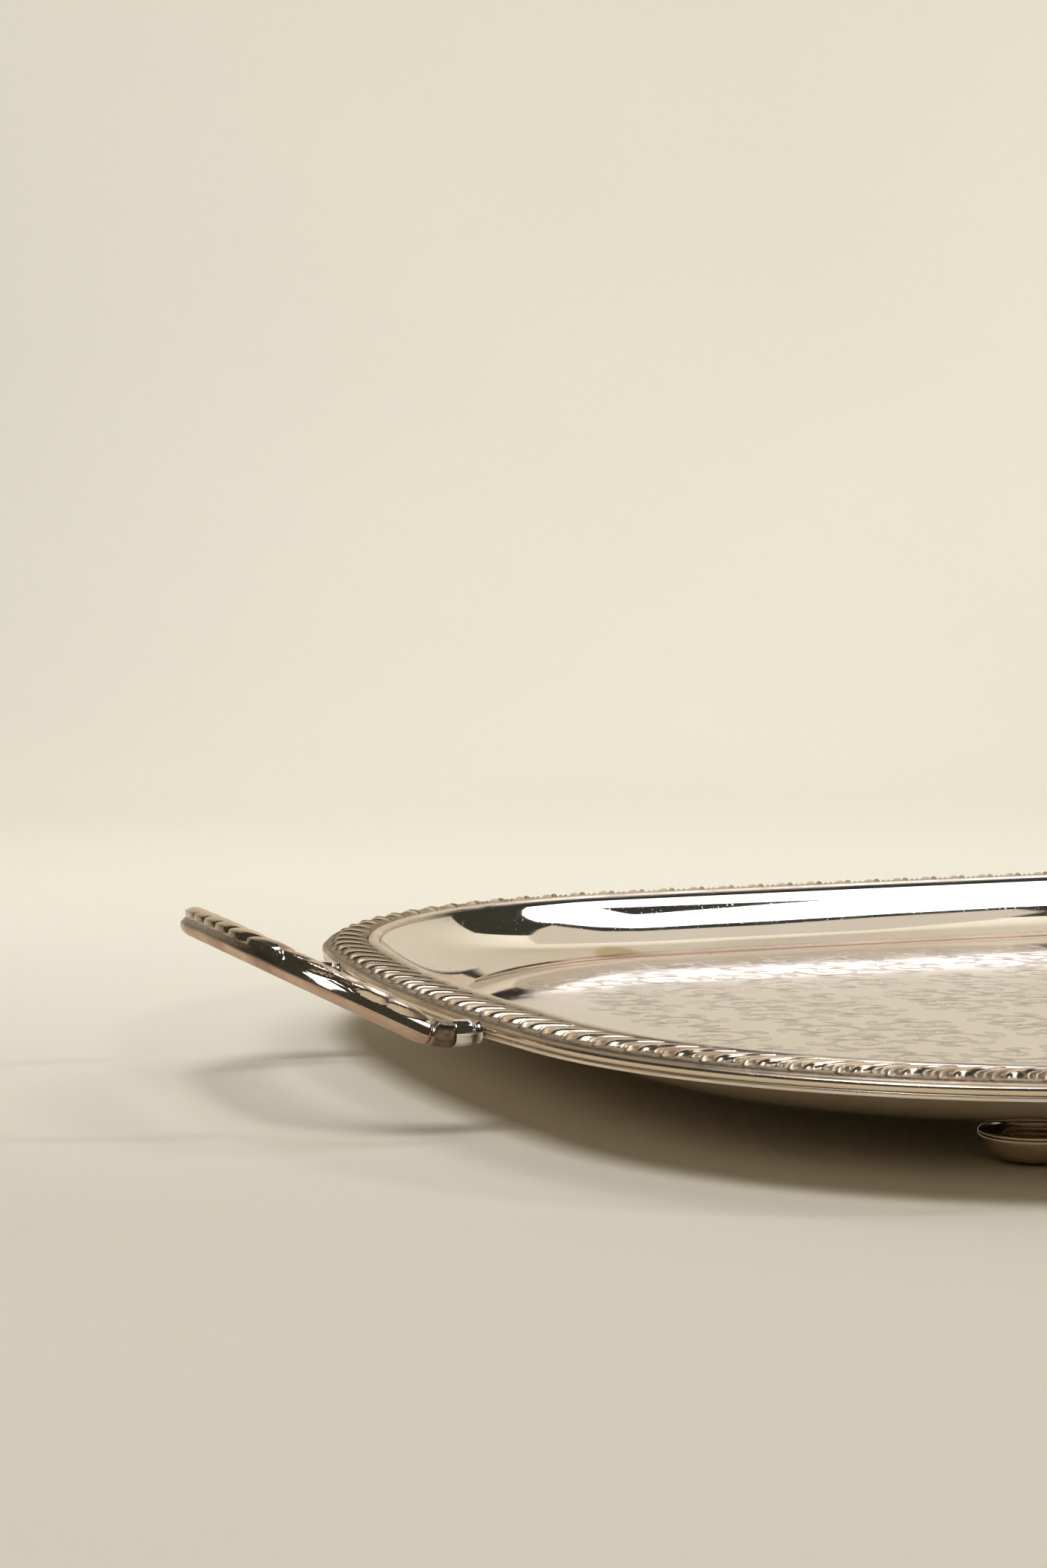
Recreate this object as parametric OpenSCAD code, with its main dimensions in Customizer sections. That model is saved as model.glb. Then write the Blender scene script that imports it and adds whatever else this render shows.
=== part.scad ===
// Oblong silver-plated serving tray: a raised sheet body, a lobed border in eight lengths,
// two cast bow handles on turned terminals, and four hollow bun feet.
// Origin on the table under the middle of the tray, X along its length, Z up. Millimetres.

/* [Outline] */
// Length of the tray over its rim, without the handles
tray_length = 582; // [540:1:640]
// Width of the tray over its rim
tray_width = 383; // [360:1:410]
// Radius of the four corners in plan
corner_radius = 126; // [110:1:140]
// Radius of the slow curve along each short end in plan
end_radius = 554; // [480:1:800]
// Radius of the slow curve along each long side in plan
side_radius = 3960; // [2500:10:6000]

/* [Body sheet] */
// Thickness of the sheet
sheet = 1.2; // [0.8:0.1:2]
// Height of the flange's underside above the underside of the base
rim_rise = 10.9; // [8:0.1:16]
// Width of the flat flange that carries the border
flange_width = 11.8; // [10:0.1:15]
// Width of the raised bead inside the border
bead_width = 3.2; // [2.4:0.1:5]
// Height of the bead's top above the flange
bead_rise = 4.1; // [3.6:0.1:6]
// Run of the curved slope from the bead to the flat base
slope_run = 28.2; // [22:0.1:34]
// Softened edge of the lip
lip_round = 0.3; // [0.1:0.05:0.4]

/* [Border] */
// Height of the plain outer band above the flange
band_height = 3.1; // [2.4:0.1:3.4]
// Width of the plain outer band
band_width = 2; // [1.5:0.1:3]
// How far the round face of the band stands out past the lip
band_swell = 0.3; // [0.1:0.05:0.6]
// How far the border climbs from its band to the bead
border_climb = 0.4; // [0.1:0.1:0.8]
// Spacing of the lobes along the border
lobe_pitch = 10; // [8:0.5:16]
// Height of a lobe above the hollows beside it
lobe_rise = 0.8; // [0.4:0.1:1.2]
// Share of a lobe's height that is left at its tail
lobe_tail = 0.5; // [0.3:0.05:0.8]
// How far a lobe's tail trails along the border, in lobes
lobe_sweep = 1.1; // [0.5:0.1:1.5]
// Clearance between the border and the bead
bead_gap = 0.2; // [0.1:0.05:0.5]
// Clearance where two lengths of border meet
joint_gap = 0.1; // [0.05:0.05:0.3]

/* [Handles] */
// Distance between the two terminals of one handle
handle_span = 112; // [104:1:130]
// Reach of the bar's middle past the rim
handle_reach = 45.6; // [40:0.1:60]
// Upward tilt of the bow
handle_tilt = 27; // [10:1:35]
// Squareness of the bow in plan: 2 is an ellipse, 4 is nearly square
bow_squareness = 3; // [2.2:0.1:4]
// Width of the bar
bar_width = 8; // [6:0.1:10]
// Depth of the rounded underside below the bar's middle
bar_depth = 3.2; // [2.4:0.1:4]
// Height of the bar's top above its middle
bar_top = 3.2; // [2.4:0.1:4]
// Spacing of the lobes along the grip
grip_pitch = 10.8; // [9:0.1:12]
// Height of the lobes on the grip
grip_rise = 1.1; // [0.5:0.1:2]
// Number of lobes on the grip
grip_lobes = 8; // [6:1:9]
// Height of the leaf on each shoulder of the bow
leaf_rise = 0.9; // [0.4:0.1:1.6]
// Length of the leaf, measured out from the rim
leaf_length = 20; // [14:1:24]
// Distance from the bar's start to the leaf
leaf_start = 12; // [8:0.5:14]
// Length of the bar over which it levels out at each terminal
bar_level = 8; // [4:0.5:12]

/* [Terminals] */
// Length of a terminal from the rim to the bar
terminal_length = 6; // [5.6:0.1:9]
// Diameter of the barrel
barrel_diameter = 5.8; // [5:0.1:6.4]
// Length of the barrel
barrel_length = 4.2; // [3.5:0.1:5]
// Diameter of the narrow neck between the barrel and the rim
neck_diameter = 4.2; // [3.4:0.1:5]
// Clearance between a terminal and the rim
rim_gap = 0.2; // [0.1:0.05:0.3]
// Width of the groove between a terminal and the bar
groove = 0.2; // [0.1:0.05:0.3]

/* [Feet] */
// Height of a foot, from the table to the underside of the base
foot_height = 10; // [8.5:0.1:16]
// Diameter of a foot at its seam
foot_diameter = 23.4; // [20:0.1:28]
// Height of the seam above the table
seam_height = 5.9; // [4.5:0.1:6.5]
// Diameter of the flat that stands on the table
tread_diameter = 8; // [5:0.5:10]
// Diameter of the collar under the base
collar_diameter = 14; // [12:0.5:16]
// Thickness of the collar
collar_height = 1.6; // [1:0.1:2]
// Thickness of the foot's two shells
shell = 0.8; // [0.5:0.1:1]
// Distance from the tray's end to the middle of a foot
foot_end_inset = 99.6; // [90:0.1:110]
// Distance from the tray's side to the middle of a foot
foot_side_inset = 63.3; // [60:0.1:75]

/* [Hidden] */
$fn = 96;
SILVER = [0.80, 0.76, 0.68];
WARM_SILVER = [0.78, 0.68, 0.56];
SHADED_SILVER = [0.62, 0.57, 0.50];

// Levels, from the table up
base_z = foot_height;
well_z = base_z + sheet;
flange_z = base_z + rim_rise;
seat_z = flange_z + sheet;
bead_top_z = seat_z + bead_rise;

// Outline: one arc for each end, corner and side, tangent to its neighbours
end_cx = tray_length / 2 - end_radius;
side_cy = tray_width / 2 - side_radius;
end_reach = end_radius - corner_radius;
side_reach = side_radius - corner_radius;
centres_apart = norm([end_cx, side_cy]);
chord_step = (end_reach ^ 2 - side_reach ^ 2 + centres_apart ^ 2) / (2 * centres_apart);
chord_half = sqrt(end_reach ^ 2 - chord_step ^ 2);
centre_line = [-end_cx, side_cy] / centres_apart;
corner = [end_cx, 0] + chord_step * centre_line + chord_half * [-centre_line.y, centre_line.x];
end_half = atan2(corner.y, corner.x - end_cx);
side_start = atan2(corner.y - side_cy, corner.x);

// Each arc of the outline, anticlockwise: name, centre, radius, first and last angle, flats in the sheet
end_steps = 8;
corner_steps = 14;
side_steps = 12;
ARCS = [
    ["end_right", [end_cx, 0], end_radius, -end_half, end_half, end_steps],
    ["corner_back_right", corner, corner_radius, end_half, side_start, corner_steps],
    ["side_back", [0, side_cy], side_radius, side_start, 180 - side_start, side_steps],
    ["corner_back_left", [-corner.x, corner.y], corner_radius, 180 - side_start, 180 - end_half, corner_steps],
    ["end_left", [-end_cx, 0], end_radius, 180 - end_half, 180 + end_half, end_steps],
    ["corner_front_left", -corner, corner_radius, 180 + end_half, 180 + side_start, corner_steps],
    ["side_front", [0, -side_cy], side_radius, 180 + side_start, 360 - side_start, side_steps],
    ["corner_front_right", [corner.x, -corner.y], corner_radius, 360 - side_start, 360 - end_half, corner_steps],
];

// Section of the body: the bead, then a round slope that runs level into the base
bead_r = bead_width / 2;
bead_mid_z = bead_top_z - bead_r;
slope_top = flange_width + bead_width;
slope_rise = bead_mid_z - well_z;
slope_radius = (slope_run ^ 2 + slope_rise ^ 2) / (2 * slope_rise);
slope_angle = asin(slope_run / slope_radius);
under_radius = slope_radius + sheet;
under_angle = acos(1 - rim_rise / under_radius);
base_inset = slope_top + slope_run;
curve_steps = 6;

// Border
border_inset = flange_width - bead_gap;
band_mid_z = seat_z + band_height / 2;
band_steps = 2;
lobe_steps = 4;
lobe_rows = [0.2, 0.6, 1];

// Handles and terminals, made for the right end
rim_x = end_cx + sqrt(end_radius ^ 2 - (handle_span / 2) ^ 2);
rim_face = band_swell + rim_gap;
bow_start = rim_face + terminal_length + groove;
bow_run = handle_reach - bow_start;
bow_power = 2 / bow_squareness;
bow_rings = 64;
bar_sides = 12;
nudge = 0.01;
grip_half = grip_lobes * grip_pitch / 2;
terminal_root = 3;

// Feet
foot_r = foot_diameter / 2;
tread_r = tread_diameter / 2;
collar_r = collar_diameter / 2;
collar_z = base_z - collar_height;
collar_step = 0.6;
collar_step_z = collar_z + collar_height / 3;
foot_x = tray_length / 2 - foot_end_inset;
foot_y = tray_width / 2 - foot_side_inset;

END_NAMES = ["right", "left"];
DEPTH_NAMES = ["front", "back"];
FEET = [for (d = DEPTH_NAMES) for (e = END_NAMES) [str(d, "_", e), e, d]];
TERMINALS = [for (e = END_NAMES) for (d = DEPTH_NAMES) [str(e, "_", d), e, d]];

function x_sign(end) = end == "right" ? 1 : -1;
function y_sign(depth) = depth == "back" ? 1 : -1;

// A point of an arc at an angle, drawn in from the outline by an inset
function on_arc(arc, angle, inset) = arc[1] + (arc[2] - inset) * [cos(angle), sin(angle)];

// Section of the sheet, from the base's underside round the lip to its top: inset and height
function sheet_section() = concat(
    [for (i = [0:curve_steps])
        let (a = under_angle * i / curve_steps)
        [base_inset - under_radius * sin(a), base_z + under_radius * (1 - cos(a))]],
    [[lip_round, flange_z], [0, flange_z + lip_round], [0, seat_z - lip_round], [lip_round, seat_z]],
    [[flange_width, seat_z]],
    [for (i = [0:curve_steps])
        let (a = 180 - 180 * i / curve_steps)
        [flange_width + bead_r + bead_r * cos(a), bead_mid_z + bead_r * sin(a)]],
    [for (i = [1:curve_steps])
        let (a = slope_angle * (1 - i / curve_steps))
        [base_inset - slope_radius * sin(a), well_z + slope_radius * (1 - cos(a))]]
);

// Faces between one ring of points and the next, for the strips from one point to its neighbour
function strip_faces(this, next, sides, strips) = [
    for (k = [0:strips - 1])
        let (n = (k + 1) % sides)
        each [
            [this * sides + k, this * sides + n, next * sides + k],
            [this * sides + n, next * sides + n, next * sides + k]
        ]
];

module tray_body() {
    section = sheet_section();
    sides = len(section);
    points = [
        for (arc = ARCS) for (i = [0:arc[5] - 1])
            let (angle = arc[3] + (arc[4] - arc[3]) * i / arc[5])
            for (p = section)
                let (xy = on_arc(arc, angle, p.x))
                [xy.x, xy.y, p.y]
    ];
    rings = len(points) / sides;
    underside = [for (i = [0:rings - 1]) i * sides];
    top = [for (i = [rings - 1:-1:0]) i * sides + sides - 1];
    walls = [for (i = [0:rings - 1]) each strip_faces(i, (i + 1) % rings, sides, sides - 1)];
    color(SILVER) polyhedron(points, concat([underside, top], walls), convexity = 8);
}

// How far a lobe has trailed along the border at a share of its width, in lobes
function trail(v) = lobe_sweep * (1 - sqrt(1 - v ^ 2));

// Closed section of the border where the lobes have a given phase: inset and height
function border_section(phase) = concat(
    [
        [border_inset, seat_z],
        [0, seat_z]
    ],
    [for (i = [0:band_steps])
        let (a = 90 * i / band_steps)
        [band_width - (band_width + band_swell) * cos(a), band_mid_z + band_height / 2 * sin(a)]],
    [for (v = lobe_rows)
        let (lobe = lobe_rise * (1 - (1 - lobe_tail) * v) * sin(180 * (phase - trail(v))) ^ 2)
        [band_width + (border_inset - band_width) * v, seat_z + band_height + border_climb * v + lobe]]
);

// Faces of a closed bar of rings that all have the same number of points
function bar_faces(rings, sides) = concat(
    [[for (k = [sides - 1:-1:0]) k]],
    [for (i = [0:rings - 2]) each strip_faces(i, i + 1, sides, sides)],
    [[for (k = [0:sides - 1]) (rings - 1) * sides + k]]
);

module border(arc) {
    sweep = arc[4] - arc[3];
    lobes = round(arc[2] * sweep * PI / 180 / lobe_pitch);
    steps = lobes * lobe_steps;
    trim = joint_gap / 2 / arc[2] * 180 / PI;
    sides = len(border_section(0));
    points = [
        for (i = [0:steps])
            let (angle = arc[3] + trim + (sweep - 2 * trim) * i / steps)
            for (p = border_section(i / lobe_steps))
                let (xy = on_arc(arc, angle, p.x))
                [xy.x, xy.y, p.y]
    ];
    color(WARM_SILVER) polyhedron(points, bar_faces(steps + 1, sides), convexity = 8);
}

// Height of the bow's middle line at a distance past the bar's start: level, then tilted
function bow_rise(run) =
    tan(handle_tilt) * (run < bar_level ? run ^ 2 / (2 * bar_level) : run - bar_level / 2);
function bow_slope(run) = atan(tan(handle_tilt) * min(1, run / bar_level));

// The bow's middle line, from one terminal over the grip to the other
function bow_run_at(turn) = bow_run * pow(max(0, sin(turn)), bow_power);
function bow_side_at(turn) = handle_span / 2 * sign(cos(turn)) * pow(abs(cos(turn)), bow_power);
function bow_point(turn) =
    let (run = bow_run_at(turn))
    [rim_x + bow_start + run, bow_side_at(turn), seat_z + bow_rise(run)];

// Height of the bar's top, with slanting lobes on the grip and a leaf on each shoulder
function grip_lobe(side, across) =
    abs(side) < grip_half ? grip_rise * sin(180 * (side / grip_pitch - across / 2)) ^ 2 : 0;
function leaf(run) =
    let (share = (run - leaf_start) / leaf_length)
    share > 0 && share < 1 ? leaf_rise * sin(180 * share) ^ 2 : 0;
function bar_crown(run, side, across) = bar_top + max(grip_lobe(side, across), leaf(run));

// One ring of the bow, square to its middle line
function bow_ring(turn) =
    let (
        here = bow_point(turn),
        run = bow_run_at(turn),
        ahead = bow_point(min(180, turn + nudge)) - bow_point(max(0, turn - nudge)),
        slope = bow_slope(run),
        up = [-sin(slope), 0, cos(slope)],
        across = cross(ahead / norm(ahead), up)
    )
    [for (k = [0:bar_sides - 1])
        let (
            w = cos(360 * k / bar_sides),
            t = sin(360 * k / bar_sides),
            height = t > 0 ? t * bar_crown(run, here.y, w) : t * bar_depth
        )
        here + across * w * bar_width / 2 + up * height];

module handle(end) {
    rings = [for (i = [0:bow_rings]) bow_ring(180 * i / bow_rings)];
    color(WARM_SILVER)
        rotate(end == "right" ? 0 : 180)
            polyhedron([for (r = rings) each r], bar_faces(bow_rings + 1, bar_sides), convexity = 8);
}

// Turned terminal: a flared neck against the rim, then a barrel with softened ends
function terminal_profile() =
    let (
        barrel_r = barrel_diameter / 2,
        neck_r = neck_diameter / 2,
        soft = (barrel_r - neck_r) / 2,
        tip = rim_face + terminal_length,
        barrel_foot = tip - barrel_length
    )
    [
        [0, -terminal_root],
        [neck_r + soft, -terminal_root],
        [neck_r + soft, rim_face],
        [neck_r, (rim_face + barrel_foot) / 2],
        [neck_r + soft, barrel_foot],
        [barrel_r, barrel_foot + soft],
        [barrel_r, tip - soft],
        [barrel_r - soft, tip],
        [0, tip]
    ];

module terminal(end, depth) {
    color(SHADED_SILVER)
        rotate(end == "right" ? 0 : 180)
            difference() {
                translate([rim_x, x_sign(end) * y_sign(depth) * handle_span / 2, seat_z])
                    rotate([0, 90, 0])
                        rotate_extrude()
                            polygon(terminal_profile());
                translate([end_cx, 0, 0])
                    cylinder(r = end_radius + rim_face, h = 2 * seat_z, $fn = 360);
            }
}

module at_foot(end, depth) {
    translate([x_sign(end) * foot_x, y_sign(depth) * foot_y, 0])
        rotate_extrude()
            children();
}

// Stepped disc under the base
module foot_collar(end, depth) {
    color(SHADED_SILVER) at_foot(end, depth)
        polygon([
            [0, collar_z],
            [collar_r - collar_step, collar_z],
            [collar_r - collar_step, collar_step_z],
            [collar_r, collar_step_z],
            [collar_r, base_z],
            [0, base_z]
        ]);
}

// Upper shell, dished from the collar down to the seam
module foot_upper(end, depth) {
    neck_r = collar_r - collar_step;
    drop = collar_z - seam_height - shell;
    curve = [for (i = [0:curve_steps])
        let (a = 90 * i / curve_steps)
        [neck_r + (foot_r - neck_r) * (1 - cos(a)), collar_z - drop * sin(a)]];
    color(SHADED_SILVER) at_foot(end, depth)
        polygon(concat(
            curve,
            [[foot_r, seam_height], [foot_r - shell, seam_height]],
            [for (i = [curve_steps:-1:0]) curve[i] - [shell, i == 0 ? 0 : shell]]
        ));
}

// Lower shell, a shallow bowl with a small flat to stand on
module foot_lower(end, depth) {
    bowl = [for (i = [0:curve_steps])
        let (a = 90 * i / curve_steps)
        [tread_r + (foot_r - tread_r) * sin(a), seam_height * (1 - cos(a))]];
    color(SHADED_SILVER) at_foot(end, depth)
        polygon(concat(
            [[0, 0]],
            bowl,
            [[foot_r - shell, seam_height]],
            [for (i = [curve_steps - 1:-1:0]) bowl[i] + [-shell / 2, shell]],
            [[0, shell]]
        ));
}

tray_body();
for (a = ARCS) {
    border(a);
}
for (e = END_NAMES) {
    handle(e);
}
for (t = TERMINALS) {
    terminal(t[1], t[2]);
}
for (f = FEET) {
    foot_collar(f[1], f[2]);
    foot_upper(f[1], f[2]);
    foot_lower(f[1], f[2]);
}
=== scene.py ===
import math
from collections import namedtuple

import bmesh
import bpy
import numpy as np
from mathutils import Matrix


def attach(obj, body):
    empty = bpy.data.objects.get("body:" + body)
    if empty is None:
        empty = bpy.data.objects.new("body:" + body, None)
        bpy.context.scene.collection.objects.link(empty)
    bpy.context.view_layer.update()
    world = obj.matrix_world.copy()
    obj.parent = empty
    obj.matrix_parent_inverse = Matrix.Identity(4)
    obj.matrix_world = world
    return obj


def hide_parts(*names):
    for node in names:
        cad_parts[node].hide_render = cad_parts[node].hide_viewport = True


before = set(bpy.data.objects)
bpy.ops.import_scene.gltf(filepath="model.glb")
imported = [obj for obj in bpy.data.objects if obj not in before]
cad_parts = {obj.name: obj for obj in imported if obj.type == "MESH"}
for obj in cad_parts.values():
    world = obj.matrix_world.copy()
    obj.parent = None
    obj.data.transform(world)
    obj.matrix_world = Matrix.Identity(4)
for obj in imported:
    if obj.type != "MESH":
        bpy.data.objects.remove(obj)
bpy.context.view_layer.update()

# Sizes in millimetres, the same as those of the solids
MM = 0.001
TRAY_LENGTH = 582.0
TRAY_WIDTH = 383.0
CORNER_RADIUS = 126.0
END_RADIUS = 554.0
SIDE_RADIUS = 3960.0
SHEET = 1.2
RIM_RISE = 10.9
FLANGE_WIDTH = 11.8
BEAD_WIDTH = 3.2
BEAD_RISE = 4.1
SLOPE_RUN = 28.2
BAND_SWELL = 0.3
LOBE_PITCH = 10.0
LOBE_SWEEP = 1.1
BEAD_GAP = 0.2
HANDLE_SPAN = 112.0
HANDLE_REACH = 45.6
HANDLE_TILT = math.radians(27.0)
BOW_SQUARENESS = 3.0
BAR_WIDTH = 8.0
BAR_DEPTH = 3.2
GRIP_PITCH = 10.8
GRIP_LOBES = 8
BAR_LEVEL = 8.0
TERMINAL_LENGTH = 6.0
BARREL_DIAMETER = 5.8
BARREL_LENGTH = 4.2
NECK_DIAMETER = 4.2
RIM_GAP = 0.2
GROOVE = 0.2
FOOT_HEIGHT = 10.0
FOOT_DIAMETER = 23.4
SEAM_HEIGHT = 5.9
TREAD_DIAMETER = 8.0
COLLAR_DIAMETER = 14.0
COLLAR_HEIGHT = 1.6
COLLAR_STEP = 0.6
SHELL = 0.8
FOOT_END_INSET = 99.6
FOOT_SIDE_INSET = 63.3

# Levels and places that follow from them
BASE_Z = FOOT_HEIGHT
WELL_Z = BASE_Z + SHEET
FLANGE_Z = BASE_Z + RIM_RISE
SEAT_Z = FLANGE_Z + SHEET
BEAD_R = BEAD_WIDTH / 2
BEAD_MID_Z = SEAT_Z + BEAD_RISE - BEAD_R
SLOPE_TOP = FLANGE_WIDTH + BEAD_WIDTH
SLOPE_RISE = BEAD_MID_Z - WELL_Z
SLOPE_RADIUS = (SLOPE_RUN ** 2 + SLOPE_RISE ** 2) / (2 * SLOPE_RISE)
SLOPE_ANGLE = math.asin(SLOPE_RUN / SLOPE_RADIUS)
UNDER_RADIUS = SLOPE_RADIUS + SHEET
UNDER_ANGLE = math.acos(1 - RIM_RISE / UNDER_RADIUS)
BASE_INSET = SLOPE_TOP + SLOPE_RUN
BORDER_INSET = FLANGE_WIDTH - BEAD_GAP
END_CX = TRAY_LENGTH / 2 - END_RADIUS
RIM_X = END_CX + math.sqrt(END_RADIUS ** 2 - (HANDLE_SPAN / 2) ** 2)
RIM_FACE = BAND_SWELL + RIM_GAP
BOW_START = RIM_FACE + TERMINAL_LENGTH + GROOVE
BOW_RUN = HANDLE_REACH - BOW_START
BOW_POWER = 2 / BOW_SQUARENESS
FOOT_X = TRAY_LENGTH / 2 - FOOT_END_INSET
FOOT_Y = TRAY_WIDTH / 2 - FOOT_SIDE_INSET


def smooth(x):
    """A soft step from 0 at 0 to 1 at 1."""
    x = np.clip(x, 0, 1)
    return x * x * (3 - 2 * x)


def unit(vectors):
    """Vectors brought to length 1."""
    return vectors / np.maximum(np.linalg.norm(vectors, axis=-1, keepdims=True), 1e-9)


def with_height(plan, height):
    """Points in plan given a height."""
    return np.concatenate([plan, np.broadcast_to(height, plan.shape[:-1])[..., None]], -1)


Arc = namedtuple("Arc", "name centre radius first last")


def outline_arcs():
    """The outline's eight arcs, anticlockwise, each with its first and last angle."""
    side_cy = TRAY_WIDTH / 2 - SIDE_RADIUS
    end_reach = END_RADIUS - CORNER_RADIUS
    side_reach = SIDE_RADIUS - CORNER_RADIUS
    apart = math.hypot(END_CX, side_cy)
    step = (end_reach ** 2 - side_reach ** 2 + apart ** 2) / (2 * apart)
    half = math.sqrt(end_reach ** 2 - step ** 2)
    line = np.array([-END_CX, side_cy]) / apart
    corner = np.array([END_CX, 0]) + step * line + half * np.array([-line[1], line[0]])
    end_half = math.atan2(corner[1], corner[0] - END_CX)
    side_start = math.atan2(corner[1] - side_cy, corner[0])
    turn = math.pi
    full = 2 * math.pi
    mirror = np.array([-1, 1])
    return [
        Arc("end_right", np.array([END_CX, 0]), END_RADIUS, -end_half, end_half),
        Arc("corner_back_right", corner, CORNER_RADIUS, end_half, side_start),
        Arc("side_back", np.array([0, side_cy]), SIDE_RADIUS, side_start, turn - side_start),
        Arc("corner_back_left", corner * mirror, CORNER_RADIUS, turn - side_start, turn - end_half),
        Arc("end_left", np.array([-END_CX, 0]), END_RADIUS, turn - end_half, turn + end_half),
        Arc("corner_front_left", -corner, CORNER_RADIUS, turn + end_half, turn + side_start),
        Arc("side_front", np.array([0, -side_cy]), SIDE_RADIUS, turn + side_start, full - side_start),
        Arc("corner_front_right", -corner * mirror, CORNER_RADIUS, full - side_start, full - end_half),
    ]


ARCS = outline_arcs()


def on_arc(arc, angles, insets):
    """Points of an arc in plan: one row for each angle, one column for each inset."""
    around = np.stack([np.cos(angles), np.sin(angles)], -1)
    return arc.centre + (arc.radius - insets)[None, :, None] * around[:, None, :]


def grid_quads(rows, cols, wrap_rows=False, wrap_cols=False):
    """Four-sided faces between neighbouring points of a grid."""
    r = np.arange(rows if wrap_rows else rows - 1)[:, None]
    c = np.arange(cols if wrap_cols else cols - 1)[None, :]
    r2 = (r + 1) % rows
    c2 = (c + 1) % cols
    return np.stack([r * cols + c, r * cols + c2, r2 * cols + c2, r2 * cols + c], -1).reshape(-1, 4)


def row_caps(rows, cols):
    """The two faces that close the first and the last row of a grid."""
    return [np.arange(cols), np.arange(cols)[::-1] + (rows - 1) * cols]


def column_caps(rows, cols):
    """The two faces that close the first and the last column of a grid."""
    return [np.arange(rows) * cols, np.arange(rows)[::-1] * cols + cols - 1]


def new_piece(name, points, quads, ngons=(), fields=None, sharp=50.0, tidy_normals=True):
    """A smooth-shaded mesh from points in millimetres, with one number per point for each field."""
    mesh = bpy.data.meshes.new(name)
    faces = quads.tolist() + [list(n) for n in ngons]
    mesh.from_pydata((np.asarray(points).reshape(-1, 3) * MM).tolist(), [], faces)
    if tidy_normals:
        work = bmesh.new()
        work.from_mesh(mesh)
        bmesh.ops.recalc_face_normals(work, faces=work.faces)
        work.to_mesh(mesh)
        work.free()
    mesh.shade_smooth()
    mesh.set_sharp_from_angle(angle=math.radians(sharp))
    for key, values in (fields or {}).items():
        numbers = np.ravel(values).astype(np.float32)
        mesh.attributes.new(key, "FLOAT", "POINT").data.foreach_set("value", numbers)
    piece = bpy.data.objects.new(name, mesh)
    bpy.context.scene.collection.objects.link(piece)
    return piece


def dress(piece, material, slot, *nodes):
    """Gives a piece its material, hangs it on the tray, and says which solids it stands for."""
    piece.data.materials.append(material)
    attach(piece, "root")
    if nodes:
        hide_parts(*nodes)


# Node helpers

def feed(tree, socket, value):
    """Sets an input to a value, or links it to a socket."""
    if isinstance(value, bpy.types.NodeSocket):
        tree.links.new(value, socket)
    else:
        socket.default_value = value


def add(tree, kind, settings=None, **sockets):
    """A node with its settings and its inputs, which are named with low lines for spaces."""
    made = tree.nodes.new(kind)
    for key, value in (settings or {}).items():
        setattr(made, key, value)
    for key, value in sockets.items():
        label = key.replace("_", " ")
        feed(tree, next(s for s in made.inputs if s.name == label and s.enabled), value)
    return made


def blend(tree, kind, amount, a, b):
    """One colour or number turning into another."""
    made = add(tree, "ShaderNodeMix", {"data_type": kind}, Factor=amount, A=a, B=b)
    return next(s for s in made.outputs if s.enabled)


def blend_tones(tree, amount, a, b):
    """One colour turning into another."""
    return blend(tree, "RGBA", amount, a, b)


def blend_values(tree, amount, a, b):
    """One number turning into another."""
    return blend(tree, "FLOAT", amount, a, b)


def joined(tree, operation, a, b):
    """Two numbers put together and kept between 0 and 1."""
    made = add(tree, "ShaderNodeMath", {"operation": operation, "use_clamp": True})
    feed(tree, made.inputs[0], a)
    feed(tree, made.inputs[1], b)
    return made.outputs[0]


def scaled(tree, a, b):
    """One number times another."""
    return joined(tree, "MULTIPLY", a, b)


def raised(tree, value, mask, amount):
    """A number raised by an amount where a mask says so."""
    return joined(tree, "ADD", value, scaled(tree, mask, amount))


def ramp(tree, value, low, high):
    """A number spread so that low gives 0 and high gives 1."""
    made = add(tree, "ShaderNodeMapRange", {"clamp": True}, Value=value, From_Min=low, From_Max=high)
    return made.outputs["Result"]


def own_place(tree):
    """The tray's own coordinates, in metres."""
    return add(tree, "ShaderNodeTexCoord").outputs["Object"]


def noise(tree, scale, detail, stretch=(1, 1, 1), turn=0.0):
    """Noise in features per metre, stretched and turned about the upright by degrees."""
    spin = (0, 0, math.radians(turn))
    mapping = add(tree, "ShaderNodeMapping", Vector=own_place(tree), Scale=stretch, Rotation=spin)
    place = mapping.outputs["Vector"]
    return add(tree, "ShaderNodeTexNoise", Vector=place, Scale=scale, Detail=detail).outputs["Fac"]


def patches(tree, scale, detail, low, high):
    """Noise drawn out into patches that start at one level and are full at another."""
    return ramp(tree, noise(tree, scale, detail), low, high)


def field(tree, name):
    """A number stored on the mesh's points."""
    return add(tree, "ShaderNodeAttribute", {"attribute_name": name}).outputs["Fac"]


# Tones of the metal
SILVER = (0.90, 0.845, 0.80, 1)
SILVER_WARM = (0.86, 0.72, 0.57, 1)
SILVER_TAN = (0.52, 0.375, 0.24, 1)
# The next tone is bare copper, darkened as painted shade where it covers the handle's underside.
COPPER_AND_PAINTED_SHADE = (0.60, 0.40, 0.31, 1)
# The next tone darkens tarnished hollows and also paints shade and dark reflections.
TARNISH_AND_PAINTED_SHADE = (0.085, 0.06, 0.038, 1)
STAIN = (0.62, 0.50, 0.27, 1)
GRAZING = (0.86, 0.83, 0.81, 1)

# Patches on the metal: features per metre, detail, and the levels where a patch starts and is full
CLOUDS = (22.0, 4.0, 0.35, 0.7)
BARE_PATCHES = (70.0, 5.0, 0.38, 0.62)
SMUDGES = (55.0, 4.0, 0.4, 0.75)
SPECKS = (700.0, 3.0, 0.3, 0.7)
PITS = (420.0, 4.0, 0.3, 0.45)
CHASED_MOTTLE = (300.0, 3.0, 0.3, 0.7)

# Waves, dots and file marks: features per metre, then detail and stretch
WAVES = (16.0, 1.0)
DOTS = 1500.0
FILE_MARKS = (1500.0, 3.0, (1, 0.06, 0.06))

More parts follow.
